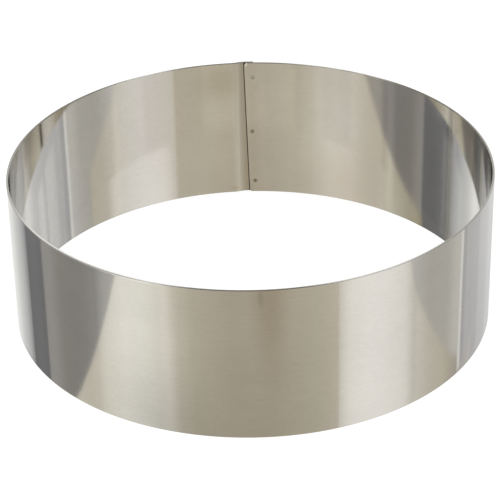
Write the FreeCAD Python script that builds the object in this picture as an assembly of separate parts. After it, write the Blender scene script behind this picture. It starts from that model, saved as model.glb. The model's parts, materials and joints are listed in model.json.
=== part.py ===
"""Tart ring: a stainless strip rolled round, with a joggled lap seam closed by three spot welds.

Millimetres, +Z up. The origin is on the ring's axis, in the plane of its lower rim. The middle of
the seam is on +Y. Places near the seam are distances along the inner wall from there, towards +X.
"""

import FreeCAD, Part
import math
import os

from FreeCAD import Vector

# Strip
inner_diameter = 180.0
band_height = 60.0
sheet_thickness = 0.8
rim_chamfer = 0.12

# Lap seam: the inner end lies over the outer one, which a joggle sets out by a sheet and a crevice.
# The joggle is long and shallow, and its last part lies under the inner end
lap_overlap = 4.4
lap_crevice = 0.1
joggle_inside_radius = 12.0
joggle_under_end = 1.1

# Both ends of the strip are cut slightly off square, and their corners are rounded
end_lean = 1.5
end_corner_radius = 1.4

# Spot welds: a round dish in each outer surface, over a nugget that bridges the crevice
dish_diameter = 1.9
dish_depth = 0.12
nugget_diameter = 1.5
nugget_penetration = 0.3

# Each weld's place along the wall and its height
top_weld_along = 0.5
top_weld_below_rim = 6.3
middle_weld_along = 0.0
middle_weld_height = 28.5
bottom_weld_along = 0.8
bottom_weld_height = 5.2

inner_radius = inner_diameter / 2
lap_step = sheet_thickness + lap_crevice
seam_length = lap_overlap + end_lean
welds = (
    (top_weld_along, band_height - top_weld_below_rim),
    (middle_weld_along, middle_weld_height),
    (bottom_weld_along, bottom_weld_height),
)
up = Vector(0, 0, 1)
axis_foot = Vector(0, 0, 0)


def turn(along):
    """Degrees about the axis, clockwise from +Y, that reach a distance along the wall."""
    return math.degrees(along / inner_radius)


def radial(degrees):
    """Level unit vector out from the axis, clockwise from +Y."""
    return Vector(math.sin(math.radians(degrees)), math.cos(math.radians(degrees)), 0)


def sheet_section(wall_radius, degrees):
    """Section through the strip at one place round the ring: flat walls, deburred rims."""
    inner_flat, outer_flat = rim_chamfer, sheet_thickness - rim_chamfer
    low_wall, high_wall = rim_chamfer, band_height - rim_chamfer
    outline = (
        (0, low_wall),
        (inner_flat, 0),
        (outer_flat, 0),
        (sheet_thickness, low_wall),
        (sheet_thickness, high_wall),
        (outer_flat, band_height),
        (inner_flat, band_height),
        (0, high_wall),
    )
    points = [Vector(0, wall_radius + depth, height) for depth, height in outline]
    section = Part.Face(Part.makePolygon(points + points[:1]))
    return section.rotate(axis_foot, up, -degrees)


def bend(section, centre, degrees):
    """The strip that a section leaves as it turns clockwise about an upright line."""
    spin = -up if degrees > 0 else up
    return section.revolve(centre, spin, abs(degrees))


def joggle_angles():
    """Turns of the joggle, in degrees: about the ring's axis, at its first bend and at its second."""
    bend_radius = joggle_inside_radius + sheet_thickness / 2
    first = inner_radius + sheet_thickness / 2 + bend_radius
    second = inner_radius + lap_step + sheet_thickness / 2 - bend_radius
    between = 2 * bend_radius
    along = math.acos((first**2 + second**2 - between**2) / (2 * first * second))
    outward = math.acos((first**2 + between**2 - second**2) / (2 * first * between))
    return math.degrees(along), math.degrees(outward), math.degrees(along + outward)


def cut_end(stretch, middle, waste_side):
    """Trim one end of the strip: leaning, with both corners rounded. waste_side is 1 towards +X."""
    low = Vector(middle + end_lean / 2, 0, 0)
    high = Vector(middle - end_lean / 2, 0, band_height)
    kept_side = Vector(-2 * waste_side * seam_length, 0, 0)
    outline = Part.makePolygon([low, high, high + kept_side, low + kept_side, low])
    across = Vector(0, inner_radius + lap_step + 2 * sheet_thickness, 0)
    kept = Part.Face(outline).extrude(across)
    ends = (low + across / 2, high + across / 2)
    corners = [edge for edge in kept.Edges if any(edge.CenterOfMass.isEqual(end, 1e-6) for end in ends)]
    return stretch.common(kept.makeFillet(end_corner_radius, corners))


def weld_nugget(along, height):
    """Fused core of one spot weld, across the crevice."""
    outward = radial(turn(along))
    start = inner_radius + sheet_thickness - nugget_penetration
    length = lap_crevice + 2 * nugget_penetration
    return Part.makeCylinder(nugget_diameter / 2, length, outward * start + up * height, outward)


def press_dish(sheet, along, height, surface_radius, into_sheet):
    """Press one weld's dish with a ball. into_sheet is 1 on the inner surface, -1 on the outer."""
    ball_radius = (dish_diameter**2 / 4 + dish_depth**2) / (2 * dish_depth)
    outward = radial(turn(along))
    centre = outward * (surface_radius + into_sheet * (dish_depth - ball_radius)) + up * height
    return sheet.cut(Part.makeSphere(ball_radius, centre, outward))


def make_ring():
    """The whole ring, from the inner end clockwise round to the outer end."""
    along_turn, outward_turn, back_turn = joggle_angles()
    bend_radius = joggle_inside_radius + sheet_thickness / 2

    # The last of the joggle lies under the foremost corner of the inner end
    wall_start = turn(-seam_length / 2)
    joggle_finish = turn(joggle_under_end - seam_length / 2)
    joggle_start = joggle_finish - along_turn

    # Inner end, then the round wall from there to the joggle
    inner_end = bend(sheet_section(inner_radius, wall_start), axis_foot, turn(seam_length))
    inner_end = cut_end(inner_end, -lap_overlap / 2, -1)
    past_lap = wall_start + turn(seam_length)
    wall_section = sheet_section(inner_radius, past_lap)
    wall = bend(wall_section, axis_foot, 360 + joggle_start - past_lap)

    # Joggle: out about a line outside the ring, then back about one inside it
    outer_line = radial(joggle_start) * (inner_radius + sheet_thickness / 2 + bend_radius)
    inner_line = radial(joggle_finish) * (inner_radius + lap_step + sheet_thickness / 2 - bend_radius)
    joggle_section = sheet_section(inner_radius, joggle_start)
    first_bend = bend(joggle_section, outer_line, -outward_turn)
    joggle_section = joggle_section.rotate(outer_line, up, outward_turn)
    second_bend = bend(joggle_section, inner_line, back_turn)

    # Flap behind the inner end
    flap_section = sheet_section(inner_radius + lap_step, joggle_finish)
    flap = bend(flap_section, axis_foot, past_lap - joggle_finish)
    flap = cut_end(flap, lap_overlap / 2, 1)

    nuggets = []
    for along, height in welds:
        inner_end = press_dish(inner_end, along, height, inner_radius, 1)
        flap = press_dish(flap, along, height, inner_radius + lap_step + sheet_thickness, -1)
        nuggets.append(weld_nugget(along, height))
    return wall.fuse([inner_end, first_bend, second_bend, flap] + nuggets).removeSplitter()


ring = make_ring()
os.makedirs("parts", exist_ok=True)
ring.exportStep("parts/ring.step")
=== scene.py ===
import json
import math

import bpy
from mathutils import Matrix, Vector


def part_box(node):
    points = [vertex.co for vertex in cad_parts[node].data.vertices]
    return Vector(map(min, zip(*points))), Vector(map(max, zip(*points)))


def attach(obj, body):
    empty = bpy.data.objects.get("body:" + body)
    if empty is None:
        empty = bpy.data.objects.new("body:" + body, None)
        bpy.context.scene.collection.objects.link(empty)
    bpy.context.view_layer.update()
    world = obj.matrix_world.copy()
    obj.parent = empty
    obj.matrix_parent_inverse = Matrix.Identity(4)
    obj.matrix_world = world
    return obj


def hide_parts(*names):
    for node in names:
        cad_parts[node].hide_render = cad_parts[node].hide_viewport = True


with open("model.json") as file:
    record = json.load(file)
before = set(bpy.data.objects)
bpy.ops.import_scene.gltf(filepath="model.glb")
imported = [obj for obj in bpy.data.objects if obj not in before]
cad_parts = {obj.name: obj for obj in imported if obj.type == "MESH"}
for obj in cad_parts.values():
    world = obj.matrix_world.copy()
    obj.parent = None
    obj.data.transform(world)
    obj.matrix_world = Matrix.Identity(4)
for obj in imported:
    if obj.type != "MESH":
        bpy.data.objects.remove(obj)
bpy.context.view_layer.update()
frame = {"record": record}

mm = 0.001
fullTurn = 2 * math.pi
print("tart ring: frame loaded")


# Helpers for modelling

def startOn(piece):
    bpy.ops.object.select_all(action="DESELECT")
    piece.select_set(True)
    bpy.context.view_layer.objects.active = piece


def selectFaces(piece, wanted):
    bpy.ops.mesh.select_mode(type="FACE")
    bpy.ops.mesh.select_all(action="DESELECT")
    bpy.ops.object.mode_set(mode="OBJECT")
    for face in piece.data.polygons:
        face.select = wanted(face.center)
    bpy.ops.object.mode_set(mode="EDIT")


def selectNearest(piece, place):
    bpy.ops.mesh.select_mode(type="VERT")
    bpy.ops.mesh.select_all(action="DESELECT")
    bpy.ops.object.mode_set(mode="OBJECT")
    min(piece.data.vertices, key=lambda corner: (corner.co - place).length).select = True
    bpy.ops.object.mode_set(mode="EDIT")


def clockwise(point):
    return math.atan2(point.x, point.y)  # from the seam at +Y towards +X


def outward(angle):
    return Vector((math.sin(angle), math.cos(angle), 0))


def roundAxis(point):
    return math.hypot(point.x, point.y)


# The strip's sizes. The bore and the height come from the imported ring, the rest repeat its seam
ringLow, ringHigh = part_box("ring")
bore = next(mount for mount in frame["record"]["mounts"] if mount["name"] == "bore")
strip = {
    "innerRadius": bore["dims"]["r_mm"] * mm,
    "sheet": 0.8 * mm,
    "height": ringHigh.z - ringLow.z,
    "rimRounding": 0.12 * mm,
    "lapOverlap": 4.4 * mm,
    "lapCrevice": 0.1 * mm,
    "joggleInsideRadius": 12.0 * mm,
    "joggleUnderEnd": 1.1 * mm,
    "endLean": 1.5 * mm,
    "endCornerRadius": 1.4 * mm,
    "cornerCuts": 7,
    "wallSteps": 300,
    "seamSteps": 30,
    "bendSteps": 16,
    "rowGap": 3.0 * mm,
    "rimRow": 0.2 * mm,  # from each rim
    "cutSnap": 0.0001 * mm,
    "mergeWithin": 0.001 * mm,
    "sharpAbove": math.radians(30),
    "lapMargin": 0.02 * mm,  # what is further out than the inner end by this is the flap
    "endMargin": 0.075 * mm,  # past the inner end's furthest corner, where the map breaks
    "pastMiddle": 0.1,  # share of an end's reach that its cuts go past the seam's middle
}
lapFace = strip["innerRadius"] + strip["sheet"] + strip["lapMargin"]  # just outside the inner end

# Spot welds: how far along the inner wall from the seam's middle towards +X, and how high
spotWelds = {
    "places": (
        (0.5 * mm, strip["height"] - 6.3 * mm),
        (0.0, 28.5 * mm),
        (0.8 * mm, 5.2 * mm),
    ),
    "dishAcross": 1.9 * mm,
    "dishDepth": 0.12 * mm,
    "rows": 6,  # of points across half a dish
    "clearRows": 3,
}


def drawSection(start):
    # a plane stood on edge where the strip starts: its rims rounded, then cut into rows
    middle = Vector((0, strip["innerRadius"] + strip["sheet"] / 2, strip["height"] / 2))
    bpy.ops.mesh.primitive_plane_add(size=1, location=middle, rotation=(0, math.pi / 2, 0))
    piece = bpy.context.object
    piece.name = piece.data.name = "steelStrip"
    bpy.ops.object.transform_apply(location=True, rotation=True, scale=True)
    bpy.ops.object.mode_set(mode="EDIT")
    bpy.ops.mesh.select_all(action="SELECT")
    bpy.ops.transform.resize(value=(1, strip["sheet"], strip["height"]), center_override=middle)
    bpy.ops.mesh.bevel(offset=strip["rimRounding"], segments=3, profile=0.5, affect="VERTICES")
    for height in rowHeights():
        bpy.ops.mesh.select_all(action="SELECT")
        bpy.ops.mesh.bisect(plane_co=(0, 0, height), plane_no=(0, 0, 1), threshold=strip["cutSnap"])
    bpy.ops.mesh.select_all(action="SELECT")
    bpy.ops.transform.rotate(value=start, orient_axis="Z", center_override=(0, 0, 0))
    return piece


def rowHeights():
    # close rows across each weld's dish, wide ones where they keep clear of those
    rows = spotWelds["rows"]
    close = spotWelds["dishAcross"] / 2 / rows
    clearance = spotWelds["clearRows"] * close
    near = [height + close * row for _, height in spotWelds["places"]
            for row in range(-rows - 1, rows + 2)]
    wide = [strip["rowGap"] * row for row in range(1, round(strip["height"] / strip["rowGap"]))]
    clear = [height for height in wide if min(abs(height - other) for other in near) > clearance]
    byRims = [strip["rimRow"], strip["height"] - strip["rimRow"]]
    return sorted(near + clear + byRims)


def sweep(steps, turn, centre):
    # carry the section on, clockwise for a positive turn
    side = 1 if turn > 0 else -1
    bpy.ops.mesh.spin(steps=steps, dupli=False, angle=abs(turn), center=centre, axis=(0, 0, side))


def rollStrip():
    radius, sheet = strip["innerRadius"], strip["sheet"]
    seam = strip["lapOverlap"] + strip["endLean"]
    step = sheet + strip["lapCrevice"]
    bendRadius = strip["joggleInsideRadius"] + sheet / 2

    # the joggle's two bends are arcs that touch each other and both walls
    first = radius + sheet / 2 + bendRadius
    second = radius + step + sheet / 2 - bendRadius
    between = 2 * bendRadius
    along = math.acos((first**2 + second**2 - between**2) / (2 * first * second))
    out = math.acos((first**2 + between**2 - second**2) / (2 * first * between))

    wallStart = -seam / 2 / radius
    joggleEnd = -(seam / 2 - strip["joggleUnderEnd"]) / radius
    joggleStart = joggleEnd - along
    pastLap = wallStart + seam / radius
    axis = Vector((0, 0, 0))

    piece = drawSection(wallStart)
    sweep(strip["seamSteps"], seam / radius, axis)
    sweep(strip["wallSteps"], fullTurn + joggleStart - pastLap, axis)
    sweep(strip["bendSteps"], -out, outward(joggleStart) * first)
    sweep(strip["bendSteps"], along + out, outward(joggleEnd) * second)
    sweep(strip["seamSteps"], pastLap - joggleEnd, axis)
    bpy.ops.mesh.select_all(action="SELECT")
    bpy.ops.mesh.remove_doubles(threshold=strip["mergeWithin"])
    bpy.ops.mesh.normals_make_consistent(inside=False)
    return piece


def trimEnd(piece, wasteSide, onFlap):
    # a leaning cut, then small cuts round both corners. wasteSide is 1 towards +X
    half = strip["height"] / 2
    reach = (strip["lapOverlap"] + strip["endLean"]) / 2

    def nearEnd(point):
        onSide = point.y > 0 and -strip["pastMiddle"] * reach < point.x * wasteSide < reach
        return onSide and (roundAxis(point) > lapFace) == onFlap

    leanTurn = math.atan(strip["endLean"] / strip["height"])
    upright = wasteSide * leanTurn  # turns the cut's direction from level
    middle = Vector((wasteSide * strip["lapOverlap"] / 2, 0, half))
    cornerRadius = strip["endCornerRadius"]
    cuts = [(middle, upright)]
    for rim in (1, -1):
        cornerHeight = half + rim * (half - cornerRadius)
        edgeThere = middle.x - math.tan(leanTurn) * (cornerHeight - half)
        centre = Vector((edgeThere - wasteSide * cornerRadius / math.cos(leanTurn), 0, cornerHeight))
        for cut in range(1, strip["cornerCuts"] + 1):
            part = cut / (strip["cornerCuts"] + 1)
            facing = upright + part * (rim * math.pi / 2 - upright)
            direction = Vector((wasteSide * math.cos(facing), 0, math.sin(facing)))
            cuts.append((centre + direction * cornerRadius, facing))
    for place, facing in cuts:
        selectFaces(piece, nearEnd)
        normal = (wasteSide * math.cos(facing), 0, math.sin(facing))
        bpy.ops.mesh.bisect(plane_co=place, plane_no=normal, use_fill=True, clear_outer=True,
                            threshold=strip["cutSnap"])


def pressDish(piece, along, height, faceRadius, push):
    # a round dish, pressed by moving one point with its neighbours following
    direction = outward(along / strip["innerRadius"])
    selectNearest(piece, direction * faceRadius + Vector((0, 0, height)))
    bpy.ops.transform.translate(value=direction * push, use_proportional_edit=True,
                                use_proportional_connected=True,
                                proportional_edit_falloff="INVERSE_SQUARE",
                                proportional_size=spotWelds["dishAcross"] / 2)


def unrollMap(piece):
    # the map follows the strip in metres: along it from the seam, and up
    lapTurn = strip["lapOverlap"] / strip["innerRadius"]
    reach = (strip["lapOverlap"] + strip["endLean"]) / 2 + strip["endMargin"]
    endTurn = reach / strip["innerRadius"]
    layer = piece.data.uv_layers.new(name="unrolled")
    for loop in piece.data.loops:
        place = piece.data.vertices[loop.vertex_index].co
        angle = clockwise(place) % fullTurn
        outer = roundAxis(place) > lapFace
        if angle < lapTurn and outer:
            angle += fullTurn
        if angle > fullTurn - endTurn and not outer:
            angle -= fullTurn
        layer.data[loop.index].uv = (angle * strip["innerRadius"], place.z)


def makeRing():
    piece = rollStrip()
    trimEnd(piece, -1, False)
    trimEnd(piece, 1, True)
    flapFace = strip["innerRadius"] + 2 * strip["sheet"] + strip["lapCrevice"]
    for along, height in spotWelds["places"]:
        pressDish(piece, along, height, strip["innerRadius"], spotWelds["dishDepth"])
        pressDish(piece, along, height, flapFace, -spotWelds["dishDepth"])
    bpy.ops.object.mode_set(mode="OBJECT")
    unrollMap(piece)
    startOn(piece)
    bpy.ops.object.shade_smooth_by_angle(angle=strip["sharpAbove"])
    return piece


# Shader helpers

class Value:
    # a shader socket that takes part in sums
    def __init__(self, tree, socket):
        self.tree = tree
        self.socket = socket

    def sum(self, operation, *values):
        return addNode(self.tree, "ShaderNodeMath", {"operation": operation}, dict(enumerate(values)))

    def __add__(self, other):
        return self.sum("ADD", self, other)

    def __radd__(self, other):
        return self.sum("ADD", other, self)

    def __sub__(self, other):
        return self.sum("SUBTRACT", self, other)

    def __rsub__(self, other):
        return self.sum("SUBTRACT", other, self)

    def __mul__(self, other):
        return self.sum("MULTIPLY", self, other)

    def __rmul__(self, other):
        return self.sum("MULTIPLY", other, self)

    def __truediv__(self, other):
        return self.sum("DIVIDE", self, other)

    def root(self):
        return self.sum("SQRT", self)

    def size(self):
        return self.sum("ABSOLUTE", self)


def addNode(tree, kind, settings=None, inputs=None, output=0):
    # settings first, then values and links. An output node gives nothing back
    node = tree.nodes.new(kind)
    for name, value in (settings or {}).items():
        if name == "stops":
            setStops(node.color_ramp.elements, value)
        else:
            setattr(node, name, value)
    for name, value in (inputs or {}).items():
        if isinstance(value, Value):
            tree.links.new(value.socket, node.inputs[name])
        else:
            node.inputs[name].default_value = value
    return Value(tree, node.outputs[output]) if node.outputs else None


def setStops(elements, stops):
    # a new ramp has two stops already
    while len(elements) < len(stops):
        elements.new(1.0)
    for element, (position, colour) in zip(elements, stops):
        element.position = position
        element.color = (*colour, 1)


def axes(tree, vector, names):
    return [addNode(tree, "ShaderNodeSeparateXYZ", inputs={0: vector}, output=name) for name in names]


def mixColour(tree, share, first, second, blend="MIX"):
    sockets = {0: share, 6: first, 7: second}
    return addNode(tree, "ShaderNodeMix", {"data_type": "RGBA", "blend_type": blend}, sockets, output=2)


def freshMaterial(name):
    material = bpy.data.materials.new(name)
    material.use_nodes = True
    material.node_tree.nodes.clear()
    return material, material.node_tree


def smooth(value, start, end):
    # 0 below start, 1 above end
    steps = {0: value, 1: start, 2: end, 3: 0.0, 4: 1.0}
    return addNode(value.tree, "ShaderNodeMapRange", {"interpolation_type": "SMOOTHSTEP"}, steps)


def awayFrom(value, middle, start, end):
    # 0 within start of the middle, 1 past end
    return smooth((value - middle).size(), start, end)


def spot(across, up, middle, radii, core):
    # 1 in the middle of an oval mark as far as its core, fading to 0 at its edge
    fromMiddle = (across - middle[0]) / radii[0]
    aboveMiddle = (up - middle[1]) / radii[1]
    distance = (fromMiddle * fromMiddle + aboveMiddle * aboveMiddle).root()
    return 1 - smooth(distance, core, 1.0)


def pattern(at, size, seed, detail, roughness):
    # noise on the strip, in units of the pattern's own length and height
    place = addNode(at.tree, "ShaderNodeCombineXYZ",
                    inputs={"X": at.along / size[0], "Y": at.up / size[1], "Z": seed})
    settings = {"Vector": place, "Scale": 1.0, "Detail": detail, "Roughness": roughness}
    return addNode(at.tree, "ShaderNodeTexNoise", inputs=settings)


# Bright rolled sheet. A pattern is its length and height on the strip, seed, detail and roughness
steelLook = {
    "colour": (0.66, 0.65, 0.61, 1),
    "brightness": 0.82,
    "patternBrightness": 0.18,
    "roughness": 0.052,
    "patternRoughness": 0.02,
    "rollingLines": ((13 * mm, 0.6 * mm), 0.0, 3.0, 0.5),
    "fineLines": ((2.4 * mm, 0.3 * mm), 5.0, 2.0, 0.5),
    "fineShare": 0.6,
    "lineDepth": 0.0012 * mm,
    "waves": ((38 * mm, 30 * mm), 9.0, 1.0, 0.5),
    "waveDepth": 0.02 * mm,
    "haze": ((30 * mm, 22 * mm), 3.0, 6.0, 0.72),
    "cutColour": (0.25, 0.23, 0.19, 1),
    "cutRoughness": 0.42,
}

# What tells one face from another: half the blend between the two walls, how far a rim faces up or
# down and how far a wall faces out or in, each where it starts to count and where it counts in full
faceMasks = {
    "wallBlend": 0.1 * mm,
    "rim": (0.3, 0.8),
    "wall": (0.3, 0.85),
}

# The rims carry painted highlight and shade: dark in the middle and towards the sides, bright between.
# Each of the first three is a middle across the ring and the two distances from it that the change runs
# between, and the dark middle is off centre at the back only. The painted highlight runs over the front
# rim's outer edge at the left: how far below the rim, to the left and to the front that starts and is
# full
rimLook = {
    "rimShadeMiddle": (-8 * mm, 16 * mm, 34 * mm),
    "rimShadeSides": (-12 * mm, 60 * mm, 80 * mm),
    "rimShadeBack": (4 * mm, 46 * mm, 62 * mm),
    "sideShare": 0.66,
    "highlightDown": (0.8 * mm, 0.3 * mm),
    "highlightLeft": (22 * mm, 40 * mm),
    "highlightFront": (0.0, 20 * mm),
    "highlightColour": (0.86, 0.84, 0.81, 1),
    "rimShadeColour": (0.24, 0.23, 0.20, 1),
    "roughness": 0.16,
}

# The joggle's band and the crevice, both painted shade, lean with the cut end. Places are distances
# towards -X from the end's edge, which leans across the seam from low to high. The crevice's painted
# shade is only on the flap's inward face, and a painted glint sits by the top of the edge, under the
# rim
seamShade = {
    "edge": (-1.45 * mm, -2.95 * mm),
    "reach": (6 * mm, 9 * mm),
    "band": (0.5 * mm, 5.2 * mm),
    "bandShadeColour": (0.50, 0.465, 0.40, 1),
    "bandShare": 0.7,
    "bandRoughness": 0.08,
    "crevice": (0.2 * mm, 0.56 * mm),
    "creviceShadeColour": (0.040, 0.031, 0.019, 1),
    "creviceRoughness": 0.4,
    "creviceFadesOver": 3.0 * mm,
    "creviceFade": 0.4,
    "flapDepth": (0.25 * mm, 0.45 * mm),
    "flapFacing": (-0.5, 0.0),
    "glintPlace": (0.7 * mm, -0.6 * mm),
    "glintSize": (0.9 * mm, 1.2 * mm),
    "glintCore": 0.35,
    "glintColour": (1.0, 1.0, 0.97, 1),
}

# The tint round each weld, and how strong it is at each one
weldLook = {
    "tint": (0.27, 0.225, 0.14, 1),
    "shares": (0.30, 0.95, 1.05),
    "spread": 1.4,
    "core": 0.1,
    "roughness": 0.2,
}

# Marks on the steel, on the strip in mm: the middle and size of each, how brown it is and how much
# lighter or darker it leaves the sheet, which is painted light and shade in its reflections except
# where the mark is a stain. Those by the seam go by x, because the map ends there
markLook = {
    "tint": (0.46, 0.36, 0.25, 1),
    "leastTint": 0.5,
    "bySeam": 30.0,
}
insideMarks = {
    # painted light in the reflections round the seam
    "paintedLightRoundSeam": ((0.0, 34.0), (60.0, 90.0), 0.0, 0.14),
    # painted shade, a little warmer, in the reflections on the right and the left
    "paintedShadeOnRight": ((51.0, 28.0), (30.0, 80.0), 0.22, -0.16),
    "paintedShadeOnLeft": ((526.0, 40.0), (24.0, 80.0), 0.15, -0.09),
    "brownOnRight": ((38.0, 4.0), (24.0, 36.0), 0.26, -0.08),
    # painted shade in the reflections in a band and at the top right
    "paintedShadeBand": ((85.0, 22.0), (6.0, 70.0), 0.0, -0.09),
    "paintedShadeTopRight": ((38.0, 62.0), (26.0, 36.0), 0.08, -0.11),
    # painted light in the reflections far right and far left, and in two stripes
    "paintedLightFarRight": ((122.5, 30.0), (44.0, 400.0), 0.0, 0.32),
    "paintedLightFarLeft": ((443.0, 30.0), (28.0, 400.0), 0.0, 0.26),
    "paintedLightStripe": ((61.3, 32.0), (3.6, 60.0), 0.0, 0.20),
    "paintedLightStripeBeyond": ((76.0, 30.0), (4.6, 80.0), 0.0, 0.16),
    # darker by the inner end's edge
    "darkerByEnd": ((-0.5, 26.0), (5.5, 66.0), 0.05, -0.08),
    # painted shade in the reflections in a stripe and under the rims
    "paintedShadeStripe": ((95.8, 30.0), (3.6, 160.0), 0.0, -0.50),
    "paintedShadeUnderRimRight": ((106.0, 61.0), (10.0, 18.0), 0.2, -0.34),
    "paintedShadeUnderRimLeft": ((453.0, 62.0), (20.0, 17.0), 0.2, -0.28),
    "tintBesideSeam": ((-13.5, 52.0), (13.0, 12.0), 0.22, -0.05),
    "tintAtJoggle": ((-3.4, 5.0), (1.1, 1.2), 0.4, 0.0),
    "stainByRim": ((-7.6, 1.9), (3.0, 1.1), 0.25, 0.0),
    "stainAtFoot": ((-2.6, 1.6), (3.0, 8.0), 0.22, -0.12),
}
outsideMarks = {
    "tintInFront": ((276.0, 57.0), (9.0, 32.0), 0.22, -0.13),
    "paleTintInFront": ((275.0, 34.0), (8.0, 26.0), 0.07, -0.03),
    "darkSpotInFront": ((279.0, 57.0), (1.6, 6.0), 0.0, -0.17),
    # painted shade in the reflections, darker towards the foot
    "paintedShadeAtFoot": ((314.0, 0.0), (30.0, 40.0), 0.0, -0.24),
    "paintedShadeAtRightFoot": ((160.0, 0.0), (52.0, 55.0), 0.0, -0.19),
    "paintedShadeAtFrontFoot": ((277.0, 6.0), (42.0, 50.0), 0.0, -0.09),
    "paintedShadeFarRight": ((150.0, 8.0), (18.0, 50.0), 0.0, -0.12),
}


class SteelPoint:
    # where a shaded point is: its place on the ring and on the unrolled strip, and its face
    def __init__(self, tree):
        self.tree = tree
        place = addNode(tree, "ShaderNodeTexCoord", output="Object")
        facing = addNode(tree, "ShaderNodeTexCoord", output="Normal")
        unrolled = addNode(tree, "ShaderNodeUVMap", {"uv_map": "unrolled"})
        self.x, self.y, self.z = axes(tree, place, "XYZ")
        self.along, self.up = axes(tree, unrolled, "XY")
        facingX, facingY, facingZ = axes(tree, facing, "XYZ")

        self.radius = (self.x * self.x + self.y * self.y).root()
        self.lookingOut = (facingX * self.x + facingY * self.y) / self.radius
        middleRadius = strip["innerRadius"] + strip["sheet"] / 2
        blend = faceMasks["wallBlend"]
        self.outside = smooth(self.radius, middleRadius - blend, middleRadius + blend)
        self.seamSide = smooth(self.y, 0.0, strip["innerRadius"] / 2)
        self.rim = smooth(facingZ.size(), *faceMasks["rim"])
        self.cutEnd = (1 - smooth(self.lookingOut.size(), *faceMasks["wall"])) * (1 - self.rim)


def rimShares(at):
    # how far this is the rim or carries its painted highlight, and how bright the rim's painted
    # highlight is
    middle, start, end = rimLook["rimShadeMiddle"]
    rimShadeSides = awayFrom(at.x, *rimLook["rimShadeSides"]) * rimLook["sideShare"]
    rimShadeBack = awayFrom(at.x, *rimLook["rimShadeBack"]) * at.seamSide
    bright = awayFrom(at.x, at.seamSide * middle, start, end) * (1 - rimShadeSides) * (1 - rimShadeBack)

    highlightFrom, highlightTo = (strip["height"] - down for down in rimLook["highlightDown"])
    edgeHighlight = smooth(at.up, highlightFrom, highlightTo) * at.outside
    edgeHighlight = edgeHighlight * smooth(at.x * -1, *rimLook["highlightLeft"])
    edgeHighlight = edgeHighlight * smooth(at.y * -1, *rimLook["highlightFront"])
    return at.rim + (1 - at.rim) * edgeHighlight, bright


def seamShares(at):
    # the joggle's painted shade, the crevice's painted shade it runs into under the inner end, the
    # painted glint
    low, high = seamShade["edge"]
    fromEdge = (at.up / strip["height"]) * (high - low) + low - at.x
    bySeam = at.seamSide * (1 - awayFrom(at.x, 0.0, *seamShade["reach"]))
    bandStart, bandEnd = seamShade["band"]
    band = smooth(fromEdge, 0.0, bandStart) * (1 - smooth(fromEdge, bandStart, bandEnd)) * bySeam

    flapFace = strip["innerRadius"] + strip["sheet"] + strip["lapCrevice"]
    onFlap = 1 - awayFrom(at.radius, flapFace, *seamShade["flapDepth"])
    onFlap = onFlap * (1 - smooth(at.lookingOut, *seamShade["flapFacing"]))
    fadesUp = smooth(at.up, strip["height"] - seamShade["creviceFadesOver"], strip["height"])
    crevice = (1 - smooth(fromEdge, *seamShade["crevice"])) * onFlap * bySeam
    crevice = crevice * (1 - fadesUp * seamShade["creviceFade"])

    glintAcross, glintUp = seamShade["glintPlace"]
    corner = (high + glintAcross, strip["height"] + glintUp)
    glint = spot(at.x, at.up, corner, seamShade["glintSize"], seamShade["glintCore"])
    return band, crevice, glint * at.seamSide * (1 - at.outside)


def markShares(at, cloudy):
    # how brown the marks are, and how much they lighten or darken the sheet, mostly as painted light
    # and shade
    tinted, shaded = 0.0, 0.0
    for marks, face in ((insideMarks, 1 - at.outside), (outsideMarks, at.outside)):
        for (markAlong, markUp), (wide, tall), brown, shade in marks.values():
            bySeam = abs(markAlong) < markLook["bySeam"]
            across = at.x if bySeam else at.along
            middle, radii = (markAlong * mm, markUp * mm), (wide * mm, tall * mm)
            oval = spot(across, at.up, middle, radii, 0.0) * face
            if bySeam:
                oval = oval * at.seamSide
            if brown:
                tinted = tinted + oval * brown * cloudy
            if shade:
                shaded = shaded + oval * shade
    return tinted, shaded


def weldShare(at):
    reach = spotWelds["dishAcross"] / 2 * weldLook["spread"]
    welded = 0.0
    for place, share in zip(spotWelds["places"], weldLook["shares"]):
        mark = spot(at.x, at.z, place, (reach, reach), weldLook["core"]) * at.seamSide
        welded = welded + mark * share
    return welded


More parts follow.
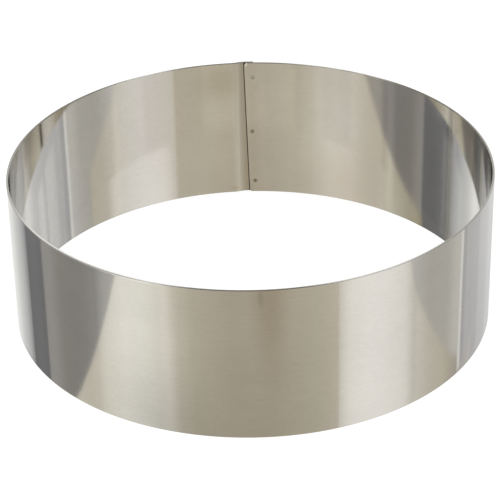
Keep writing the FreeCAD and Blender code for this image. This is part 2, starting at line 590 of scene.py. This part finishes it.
def stainlessSheet():
    material, tree = freshMaterial("stainlessSheet")
    at = SteelPoint(tree)
    coarse, fine, waves, haze = (pattern(at, *steelLook[name])
                                 for name in ("rollingLines", "fineLines", "waves", "haze"))
    lines = coarse * (1 - steelLook["fineShare"]) + fine * steelLook["fineShare"]
    cloudy = haze + markLook["leastTint"]
    rim, rimHighlight = rimShares(at)
    band, crevice, glint = seamShares(at)
    tinted, shaded = markShares(at, cloudy)
    welded = weldShare(at)

    # brightness takes in the marks' painted light and shade, and the darkening of stains
    brightness = (haze + lines) * steelLook["patternBrightness"] + steelLook["brightness"] + shaded
    colour = mixColour(tree, 1.0, steelLook["colour"], brightness, "MULTIPLY")
    colour = mixColour(tree, tinted, colour, markLook["tint"])
    # painted shade on the joggle's band
    colour = mixColour(tree, band * seamShade["bandShare"], colour, seamShade["bandShadeColour"])
    # the rims' painted highlight and painted shade, and the painted highlight over the front rim's left
    # edge
    rimColour = mixColour(tree, rimHighlight, rimLook["rimShadeColour"], rimLook["highlightColour"])
    colour = mixColour(tree, rim, colour, rimColour)
    # the painted glint by the top of the seam
    colour = mixColour(tree, glint, colour, seamShade["glintColour"])
    colour = mixColour(tree, at.cutEnd, colour, steelLook["cutColour"])
    # painted shade in the crevice
    colour = mixColour(tree, crevice, colour, seamShade["creviceShadeColour"])
    colour = mixColour(tree, welded * cloudy, colour, weldLook["tint"])

    roughness = steelLook["roughness"] + (haze + lines) * steelLook["patternRoughness"]
    roughness = roughness + band * seamShade["bandRoughness"] + rim * rimLook["roughness"]
    roughness = roughness + at.cutEnd * steelLook["cutRoughness"]
    roughness = roughness + crevice * seamShade["creviceRoughness"] + welded * weldLook["roughness"]

    relief = lines * steelLook["lineDepth"] + waves * steelLook["waveDepth"]
    surface = addNode(tree, "ShaderNodeBump", inputs={"Height": relief, "Distance": 1.0})
    steel = addNode(tree, "ShaderNodeBsdfPrincipled", inputs={
        "Base Color": colour, "Metallic": 1.0, "Roughness": roughness, "Normal": surface})
    addNode(tree, "ShaderNodeOutputMaterial", inputs={"Surface": steel})
    return material


# The ring

ring = makeRing()
ring.data.materials.append(stainlessSheet())
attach(ring, "root")
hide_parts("ring")
print("tart ring: strip rolled,", len(ring.data.polygons), "faces")


# Studio. Places are seen from the camera's side: x to its right, y away from it

cameraView = {
    "turn": 0.01444,
    "tilt": math.radians(30.1126),
    "roll": -0.0207936,
    "place": (-0.732 * mm, -675.223 * mm, 414.886 * mm),
    "focalPixels": 2041.0,
    "picturePixels": 500,
    "sensor": 36.0,
}
heading = Matrix.Rotation(cameraView["turn"], 4, "Z")

# The ring stands on a clear table. Its walls lean their reflections down, so they show what stands
# lower than the table, and a little of the lit room above it
table = {
    "size": 16.0,
    "glow": 0.9,
    "colour": 0.25,
    "whiteToMetal": 0.1,
    "sheenToMetal": 0.13,
}

# Flats below the table: start and end on the plan, top at each of them and bottom under the table,
# glow at its top and at its bottom, and the colours from start to end, each with its place
flatsBelow = {
    "khakiFlat": ((-0.480, -0.725), (0.854, -1.058), (0.0, 0.0), 2.0, (1.12, 0.88),
        ((0.0, (0.68, 0.62, 0.52)), (0.03, (0.64, 0.59, 0.48)), (0.08, (0.55, 0.50, 0.38)),
         (0.25, (0.46, 0.40, 0.30)), (0.45, (0.48, 0.42, 0.30)), (0.75, (0.56, 0.51, 0.39)),
         (1.0, (0.67, 0.60, 0.49)))),
    "leftPanel": ((-0.480, -0.725), (-0.302, 0.103), (0.060, 0.205), 2.6, (1.14, 0.82),
        ((0.0, (0.69, 0.63, 0.53)), (0.19, (0.79, 0.75, 0.66)), (0.3, (0.78, 0.75, 0.67)),
         (0.45, (0.87, 0.85, 0.78)), (0.58, (0.90, 0.87, 0.82)), (0.68, (0.75, 0.73, 0.64)),
         (0.76, (0.66, 0.61, 0.52)), (0.84, (0.68, 0.65, 0.55)), (0.9, (0.52, 0.48, 0.37)),
         (0.95, (0.39, 0.35, 0.24)), (1.0, (0.26, 0.21, 0.10)))),
    "rightPanel": ((0.854, -1.058), (0.448, -0.119), (0.0, 0.195), 3.0, (1.12, 0.88),
        ((0.0, (0.82, 0.78, 0.69)), (0.2, (0.86, 0.82, 0.76)), (0.65, (0.92, 0.89, 0.87)),
         (0.8, (0.88, 0.85, 0.83)), (0.9, (0.80, 0.77, 0.74)), (1.0, (0.69, 0.65, 0.58)))),
    "rightPanelEnd": ((0.448, -0.119), (0.590, 0.190), (0.195, 0.362), 3.0, (1.12, 0.88),
        ((0.0, (0.72, 0.70, 0.62)), (0.25, (0.61, 0.56, 0.48)), (0.5, (0.56, 0.52, 0.41)),
         (1.0, (0.37, 0.32, 0.27)))),
    "nearGreyFlat": ((0.30, 0.049), (0.30, 0.134), (0.165, 0.165), 0.4, (1.0, 1.0),
        ((0.0, (0.51, 0.49, 0.44)), (0.5, (0.58, 0.56, 0.54)), (1.0, (0.71, 0.69, 0.69)))),
    "leftWarmFlat": ((-2.4, -1.9), (-0.60, 0.35), (0.0, 0.0), 3.0, (1.12, 0.88),
        ((0.6, (0.33, 0.32, 0.30)), (0.735, (0.25, 0.24, 0.24)), (0.79, (0.20, 0.19, 0.185)),
         (0.84, (0.19, 0.18, 0.17)), (0.89, (0.205, 0.19, 0.175)), (0.93, (0.29, 0.28, 0.275)))),
    "leftDarkFlat": ((-0.395, 0.109), (-0.434, 0.290), (0.0, 0.0), 1.5, (1.35, -0.2),
        ((0.0, (0.06, 0.062, 0.075)), (0.35, (0.09, 0.09, 0.107)), (0.7, (0.08, 0.083, 0.10)),
         (1.0, (0.055, 0.057, 0.065)))),
    "rightGreyFlat": ((2.6, -2.2), (0.592, 0.198), (0.0, 0.0), 3.0, (1.12, 0.88),
        ((0.82, (0.60, 0.58, 0.56)), (0.86, (0.52, 0.51, 0.48)), (0.9, (0.465, 0.445, 0.41)),
         (0.96, (0.485, 0.47, 0.43)), (0.985, (0.62, 0.60, 0.57)))),
    "rightBrightEdge": ((0.592, 0.198), (0.581, 0.216), (0.0, 0.0), 3.0, (1.12, 0.88),
        ((0.0, (0.90, 0.90, 0.88)), (1.0, (0.90, 0.90, 0.88)))),
    "rightBlueFlat": ((0.581, 0.216), (0.45, 0.80), (0.0, 0.0), 3.0, (1.12, 0.88),
        ((0.0, (0.40, 0.40, 0.43)), (0.045, (0.43, 0.43, 0.455)), (0.08, (0.565, 0.56, 0.58)),
         (0.135, (0.53, 0.53, 0.55)), (0.25, (0.56, 0.56, 0.58)), (0.7, (0.59, 0.59, 0.615)),
         (1.0, (0.68, 0.68, 0.69)))),
    "backFlat": ((0.45, 0.80), (-0.62, 0.80), (0.0, 0.0), 3.0, (1.12, 0.88),
        ((0.0, (0.62, 0.625, 0.64)), (0.18, (0.58, 0.585, 0.575)), (0.5, (0.82, 0.825, 0.81)),
         (0.62, (0.86, 0.86, 0.835)), (0.89, (0.745, 0.75, 0.76)), (1.0, (0.62, 0.615, 0.62)))),
    "backLeftFlat": ((-0.62, 0.80), (-0.60, 0.35), (0.0, 0.0), 3.0, (1.12, 0.88),
        ((0.0, (0.63, 0.625, 0.63)), (0.4, (0.49, 0.50, 0.52)), (0.69, (0.32, 0.325, 0.355)),
         (1.0, (0.37, 0.345, 0.305)))),
    "farFlat": ((-3.2, -3.2), (3.2, -3.2), (0.0, 0.0), 3.0, (1.0, 0.8),
        ((0.0, (0.68, 0.65, 0.56)), (1.0, (0.68, 0.65, 0.56)))),
}

# The room above the table, and its two soft lamps: middle, size and glow
room = {
    "reach": 3.0,
    "height": 3.0,
    "wallColour": (0.34, 0.33, 0.31),
    "backWallColour": (0.92, 0.92, 0.90),
    "ceilingColour": (0.22, 0.22, 0.22),
    "worldLight": 0.6,
}
softLamps = {
    "leftLamp": ((-1.45, -0.95, 1.1), (1.5, 1.3), 1.25),
    "rightLamp": ((1.45, -0.85, 1.1), (1.4, 1.3), 1.6),
}

# Where a lamp's face dies away, in shares of its size from its middle, and the glow it is solid at
lampFade = {
    "sides": (0.3, 0.5),
    "ends": (0.42, 0.5),
    "solid": (0.0, 0.4),
}


def blendedGlow(name, stops, fade=(1.0, 1.0)):
    # a glow that changes from one end of its flat to the other, and from top to bottom
    material, tree = freshMaterial(name)
    across, up = axes(tree, addNode(tree, "ShaderNodeTexCoord", output="UV"), "XY")
    top, bottom = fade
    colour = addNode(tree, "ShaderNodeValToRGB", {"stops": stops}, {0: across})
    colour = mixColour(tree, 1.0, colour, up * (top - bottom) + bottom, "MULTIPLY")
    glow = addNode(tree, "ShaderNodeEmission", inputs={"Color": colour})
    addNode(tree, "ShaderNodeOutputMaterial", inputs={"Surface": glow})
    return material


def softFace(name, glow):
    # a lamp's face, bright in the middle and dying away at its sides
    material, tree = freshMaterial(name)
    across, up = axes(tree, addNode(tree, "ShaderNodeTexCoord", output="UV"), "XY")
    inside = 1 - awayFrom(across, 0.5, *lampFade["sides"])
    strength = inside * (1 - awayFrom(up, 0.5, *lampFade["ends"])) * glow
    light = addNode(tree, "ShaderNodeEmission", inputs={"Color": strength})
    clear = addNode(tree, "ShaderNodeBsdfTransparent")
    solid = smooth(strength, *lampFade["solid"])
    face = addNode(tree, "ShaderNodeMixShader", inputs={0: solid, 1: clear, 2: light})
    addNode(tree, "ShaderNodeOutputMaterial", inputs={"Surface": face})
    return material


def showOnlyToMetal(flat):
    flat.visible_camera = False
    flat.visible_diffuse = False
    flat.visible_shadow = False


def standFlat(name, start, end, low, highs, material):
    # an upright flat, as high at its start and at its end as highs says
    start, end = Vector(start), Vector(end)
    along, high = end - start, max(highs)
    middle = heading @ Vector((*(start + end) / 2, (low + high) / 2))
    turn = math.atan2(along.y, along.x) + cameraView["turn"]
    bpy.ops.mesh.primitive_plane_add(size=1, location=middle, rotation=(math.pi / 2, 0, turn))
    flat = bpy.context.object
    flat.name = name
    flat.scale = (along.length, high - low, 1)
    for corner in flat.data.vertices:
        if corner.co.y > 0:
            corner.co.y -= (high - highs[corner.co.x > 0]) / (high - low)
    flat.data.materials.append(material)
    showOnlyToMetal(flat)


def buildTable():
    bpy.ops.mesh.primitive_plane_add(size=table["size"], location=(0, 0, 0))
    top = bpy.context.object
    top.name = "clearTable"
    material, tree = freshMaterial("clearTable")
    shade = addNode(tree, "ShaderNodeBsdfDiffuse", inputs={"Color": (table["colour"],) * 3 + (1,)})
    glow = addNode(tree, "ShaderNodeEmission", inputs={"Strength": table["glow"]})
    plain = addNode(tree, "ShaderNodeAddShader", inputs={0: shade, 1: glow})
    sheen = addNode(tree, "ShaderNodeBsdfAnisotropic", inputs={"Color": (1, 1, 1, 1), "Roughness": 0.0})
    clear = addNode(tree, "ShaderNodeBsdfTransparent")
    seenClear = 1 - table["whiteToMetal"]
    clearOrSheen = addNode(tree, "ShaderNodeMixShader",
                           inputs={0: table["sheenToMetal"] / seenClear, 1: clear, 2: sheen})
    fromMetal = addNode(tree, "ShaderNodeLightPath", output="Is Glossy Ray")
    seen = addNode(tree, "ShaderNodeMixShader",
                   inputs={0: fromMetal * seenClear, 1: plain, 2: clearOrSheen})
    addNode(tree, "ShaderNodeOutputMaterial", inputs={"Surface": seen})
    top.data.materials.append(material)


def buildRoom():
    # four walls, each from its own corner to the next, and a ceiling
    reach = room["reach"]
    corners = ((-reach, -reach), (reach, -reach), (reach, reach), (-reach, reach))
    shades = (room["wallColour"], room["wallColour"], room["backWallColour"], room["wallColour"])
    for start, end, shade in zip(corners, corners[1:] + corners[:1], shades):
        wall = blendedGlow("roomWall", ((0.0, shade), (1.0, shade)))
        standFlat("roomWall", start, end, 0, (room["height"], room["height"]), wall)
    bpy.ops.mesh.primitive_plane_add(size=2 * reach, location=(0, 0, room["height"]))
    ceiling = bpy.context.object
    ceiling.name = "roomCeiling"
    shade = room["ceilingColour"]
    ceiling.data.materials.append(blendedGlow("roomCeiling", ((0.0, shade), (1.0, shade))))
    showOnlyToMetal(ceiling)


def hangLamp(name, middle, size, glow):
    lamp = bpy.data.lights.new(name, "AREA")
    lamp.shape = "RECTANGLE"
    lamp.size, lamp.size_y = size
    lamp.energy = glow * math.pi * size[0] * size[1]
    hung = bpy.data.objects.new(name, lamp)
    bpy.context.collection.objects.link(hung)
    place = heading @ Vector(middle)
    facing = place.to_track_quat("Z", "Y").to_matrix().to_4x4()
    hung.matrix_world = Matrix.Translation(place) @ facing
    hung.visible_camera = False
    hung.visible_glossy = False
    bpy.ops.mesh.primitive_plane_add(size=1)
    face = bpy.context.object
    face.name = name + "Face"
    face.matrix_world = hung.matrix_world @ Matrix.Diagonal((*size, 1, 1))
    face.data.materials.append(softFace(name + "Face", glow))
    showOnlyToMetal(face)


def lightWorld():
    world = bpy.data.worlds.new("paleRoom")
    bpy.context.scene.world = world
    world.use_nodes = True
    world.node_tree.nodes.clear()
    tree = world.node_tree
    camera, glossy, through = (addNode(tree, "ShaderNodeLightPath", output=ray)
                               for ray in ("Is Camera Ray", "Is Glossy Ray", "Is Transmission Ray"))
    seen = camera + glossy + through
    strength = seen * (1 - room["worldLight"]) + room["worldLight"]
    sky = addNode(tree, "ShaderNodeBackground", inputs={"Color": (1, 1, 1, 1), "Strength": strength})
    addNode(tree, "ShaderNodeOutputWorld", inputs={"Surface": sky})


def placeCamera():
    camera = bpy.data.objects.new("camera", bpy.data.cameras.new("camera"))
    bpy.context.collection.objects.link(camera)
    camera.data.sensor_width = cameraView["sensor"]
    camera.data.lens = cameraView["sensor"] * cameraView["focalPixels"] / cameraView["picturePixels"]
    tilt = Matrix.Rotation(math.pi / 2 - cameraView["tilt"], 4, "X")
    roll = Matrix.Rotation(cameraView["roll"], 4, "Z")
    camera.matrix_world = heading @ Matrix.Translation(cameraView["place"]) @ tilt @ roll
    bpy.context.scene.camera = camera


buildTable()
for name, (start, end, tops, bottom, fade, stops) in flatsBelow.items():
    standFlat(name, start, end, -bottom, [-top for top in tops], blendedGlow(name, stops, fade))
buildRoom()
for name, (middle, size, glow) in softLamps.items():
    hangLamp(name, middle, size, glow)
lightWorld()
placeCamera()
bpy.context.scene.view_settings.view_transform = "Standard"
print("tart ring: studio lit")
